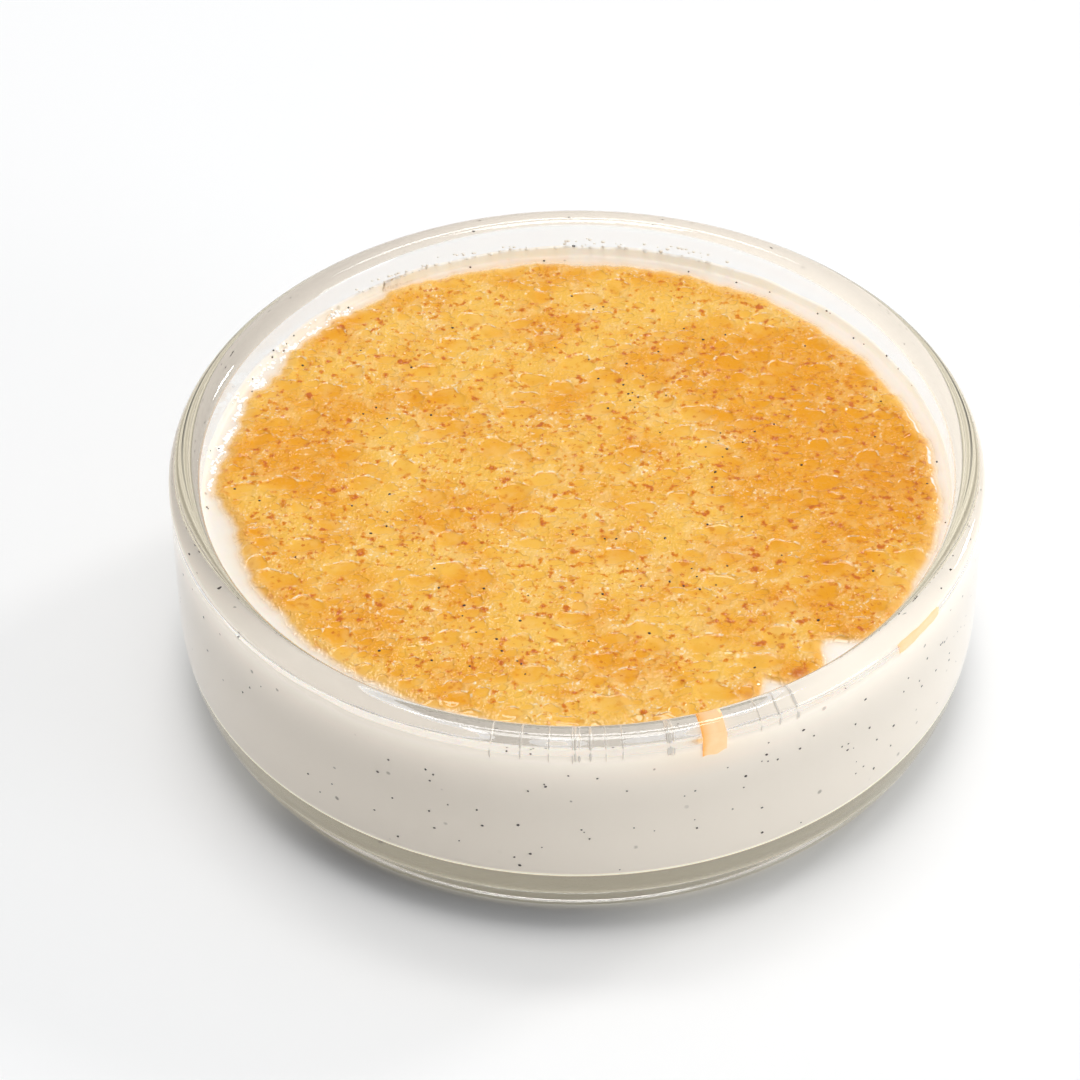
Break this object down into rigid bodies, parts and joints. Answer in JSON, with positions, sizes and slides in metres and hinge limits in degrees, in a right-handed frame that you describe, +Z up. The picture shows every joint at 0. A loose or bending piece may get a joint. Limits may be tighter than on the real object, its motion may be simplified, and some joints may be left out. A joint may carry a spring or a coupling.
{
  "type": "creme brulee",
  "caption": "Set vanilla custard in a low round clear-glass ramekin, under a thin uneven sheet of glossy amber caramel.",
  "frame": {"origin": "centre of the foot ring, on the surface the dish stands on", "axes": "+Z up along the dish's axis; the face that is seen first looks towards -Y"},
  "size_m": [0.1, 0.1, 0.0316],
  "materials": {
    "glass": "clear pressed glass, polished",
    "custard": "smooth moist custard, slightly translucent",
    "caramel": "wet glossy amber sugar, uneven"
  },
  "bodies": {
    "root": {"dish": "glass", "custard": "custard", "caramel": "caramel"}
  },
  "joints": []
}
